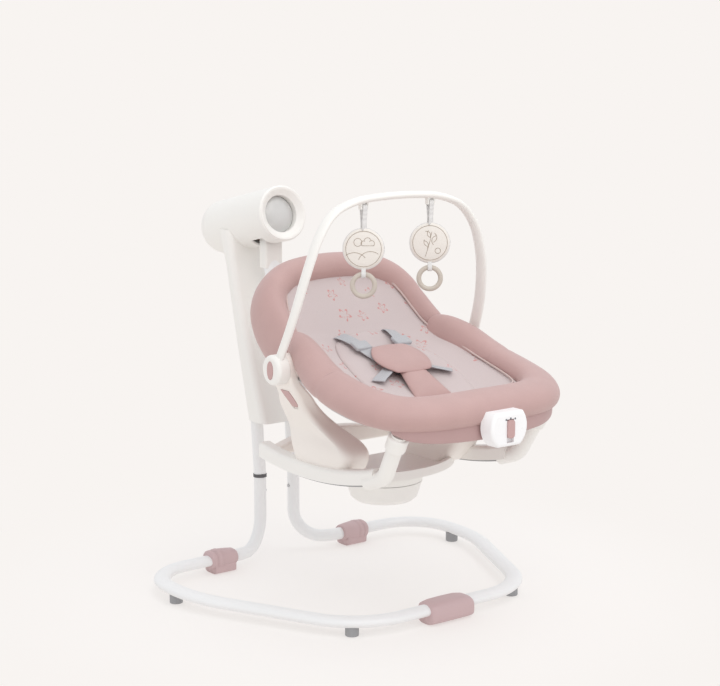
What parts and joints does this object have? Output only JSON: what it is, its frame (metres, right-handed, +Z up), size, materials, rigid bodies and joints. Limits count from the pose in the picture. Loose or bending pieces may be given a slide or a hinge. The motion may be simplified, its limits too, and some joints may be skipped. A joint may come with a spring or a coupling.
{
  "type": "baby swing",
  "caption": "Powered baby swing: floor frame, leaning mast with drive pod, swinging arm with turntable, and a lift-off rocker seat with harness and toy bar.",
  "frame": {"origin": "on the floor, under the middle of the object's plan", "axes": "+Z up; -Y the way the child faces (front of the floor loop); +X to the right seen from the front"},
  "size_m": [0.6942, 0.8964, 0.7445],
  "materials": {
    "bright_white": "gloss moulding",
    "clear": "clear polycarbonate",
    "coil": "enamelled copper winding",
    "dark_rubber": "matt",
    "frame_paint": "satin powder coat",
    "grey_ring": "matt",
    "liner_knit": "fine knitted jersey with small motifs",
    "magnet": "plated",
    "pink_leather": "soft grained synthetic leather",
    "pink_plastic": "satin moulding",
    "steel": "plain",
    "toy_cloth": "soft plush with line embroidery",
    "toy_ring": "matt moulding",
    "warm_white": "fine satin moulding",
    "webbing": "woven webbing",
    "white_plastic": "fine satin moulding"
  },
  "bodies": {
    "frame": {"floor_loop": "frame_paint", "lower_posts": "frame_paint", "upper_posts": "frame_paint", "post_collars": "grey_ring", "rubber_feet": "dark_rubber", "rear_clips": "pink_plastic", "front_clip": "pink_plastic", "mast_front_cover": "white_plastic", "mast_rear_cover": "white_plastic", "mast_spine": "steel", "power_socket": "grey_ring", "pod_barrel": "white_plastic", "pod_rear_cap": "white_plastic", "bezel_ring": "white_plastic", "lens_dome": "clear", "shaft_bearings": "steel", "drive_coil": "coil"},
    "snap_right": {"snap_button_right": "steel"},
    "snap_left": {"snap_button_left": "steel"},
    "speed_key": {"speed_button": "pink_plastic"},
    "timer_key": {"timer_button": "pink_plastic"},
    "swing_arm": {"swing_shaft": "steel", "arm_block": "white_plastic", "arm_tube": "frame_paint", "drive_magnet": "magnet", "bowl_hub": "white_plastic"},
    "turntable": {"turntable": "white_plastic"},
    "rocker": {"rocker_tray": "white_plastic", "runner_right": "white_plastic", "runner_left": "white_plastic", "anti_slip_strips": "dark_rubber", "rear_beam": "white_plastic", "upright_right": "warm_white", "upright_left": "warm_white", "leg_right": "white_plastic", "leg_left": "white_plastic", "seat_frame": "steel", "seat_rim_pad": "pink_leather", "seat_liner": "liner_knit", "control_unit": "bright_white", "waist_straps": "webbing", "crotch_strap": "pink_leather", "buckle": "grey_ring", "buckle_cover": "pink_leather"},
    "tab_right": {"release_tab_right": "pink_plastic"},
    "tab_left": {"release_tab_left": "pink_plastic"},
    "vibration_switch": {"vibration_slider": "pink_plastic"},
    "backrest": {"back_frame": "steel", "back_rim_pad": "pink_leather", "back_liner": "liner_knit", "shoulder_straps": "webbing"},
    "toy_bar": {"toy_bar": "white_plastic"},
    "bar_button_right": {"hub_button_right": "pink_plastic"},
    "bar_button_left": {"hub_button_left": "pink_plastic"},
    "toy_right": {"toy_strap_right": "webbing", "toy_disc_right": "toy_cloth"},
    "toy_left": {"toy_strap_left": "webbing", "toy_disc_left": "toy_cloth"},
    "ring_right": {"toy_ring_right": "toy_ring"},
    "ring_left": {"toy_ring_left": "toy_ring"}
  },
  "joints": [
    {"name": "snap_right_press", "type": "slide", "parent": "frame", "child": "snap_right", "axis": [1, 0, 0], "range_m": [0, 0.0015], "stiffness_N_per_m": 300},
    {"name": "snap_left_press", "type": "slide", "parent": "frame", "child": "snap_left", "axis": [-1, 0, 0], "range_m": [0, 0.0015], "stiffness_N_per_m": 300},
    {"name": "speed_press", "type": "slide", "parent": "frame", "child": "speed_key", "axis": [0, -0.9763, 0.2164], "range_m": [0, 0.002], "stiffness_N_per_m": 300},
    {"name": "timer_press", "type": "slide", "parent": "frame", "child": "timer_key", "axis": [0, -0.9763, 0.2164], "range_m": [0, 0.002], "stiffness_N_per_m": 300},
    {"name": "swing", "type": "hinge", "parent": "frame", "child": "swing_arm", "pos_m": [0, 0.20682, 0.678], "axis": [0, 0.9763, -0.2164], "range_deg": [-10, 10]},
    {"name": "seat_turn", "type": "hinge", "parent": "swing_arm", "child": "turntable", "pos_m": [0, -0.10718, 0.22], "axis": [0, 0, 1], "range_deg": [-90, 90]},
    {"name": "lift_off", "type": "slide", "parent": "turntable", "child": "rocker", "axis": [0, 0, 1], "range_m": [0, 0.06]},
    {"name": "tab_right_press", "type": "slide", "parent": "rocker", "child": "tab_right", "axis": [-1, 0, 0], "range_m": [0, 0.003], "stiffness_N_per_m": 300},
    {"name": "tab_left_press", "type": "slide", "parent": "rocker", "child": "tab_left", "axis": [1, 0, 0], "range_m": [0, 0.003], "stiffness_N_per_m": 300},
    {"name": "vibration_slide", "type": "slide", "parent": "rocker", "child": "vibration_switch", "axis": [0, 0, 1], "range_m": [-0.007, 0]},
    {"name": "recline", "type": "hinge", "parent": "rocker", "child": "backrest", "pos_m": [0, -0.08518, 0.443], "axis": [1, 0, 0], "range_deg": [-16, 0]},
    {"name": "toy_bar_turn", "type": "hinge", "parent": "rocker", "child": "toy_bar", "pos_m": [0, -0.08518, 0.443], "axis": [1, 0, 0], "range_deg": [-45, 12]},
    {"name": "bar_right_press", "type": "slide", "parent": "toy_bar", "child": "bar_button_right", "axis": [-1, 0, 0], "range_m": [0, 0.003], "stiffness_N_per_m": 300},
    {"name": "bar_left_press", "type": "slide", "parent": "toy_bar", "child": "bar_button_left", "axis": [1, 0, 0], "range_m": [0, 0.003], "stiffness_N_per_m": 300},
    {"name": "toy_right_swing", "type": "hinge", "parent": "toy_bar", "child": "toy_right", "pos_m": [0.075, -0.14318, 0.722], "axis": [1, 0, 0], "range_deg": [-25, 25]},
    {"name": "ring_right_swing", "type": "hinge", "parent": "toy_right", "child": "ring_right", "pos_m": [0.075, -0.14318, 0.6045], "axis": [1, 0, 0], "range_deg": [-25, 25]},
    {"name": "toy_left_swing", "type": "hinge", "parent": "toy_bar", "child": "toy_left", "pos_m": [-0.075, -0.14318, 0.722], "axis": [1, 0, 0], "range_deg": [-25, 25]},
    {"name": "ring_left_swing", "type": "hinge", "parent": "toy_left", "child": "ring_left", "pos_m": [-0.075, -0.14318, 0.6045], "axis": [1, 0, 0], "range_deg": [-25, 25]}
  ]
}
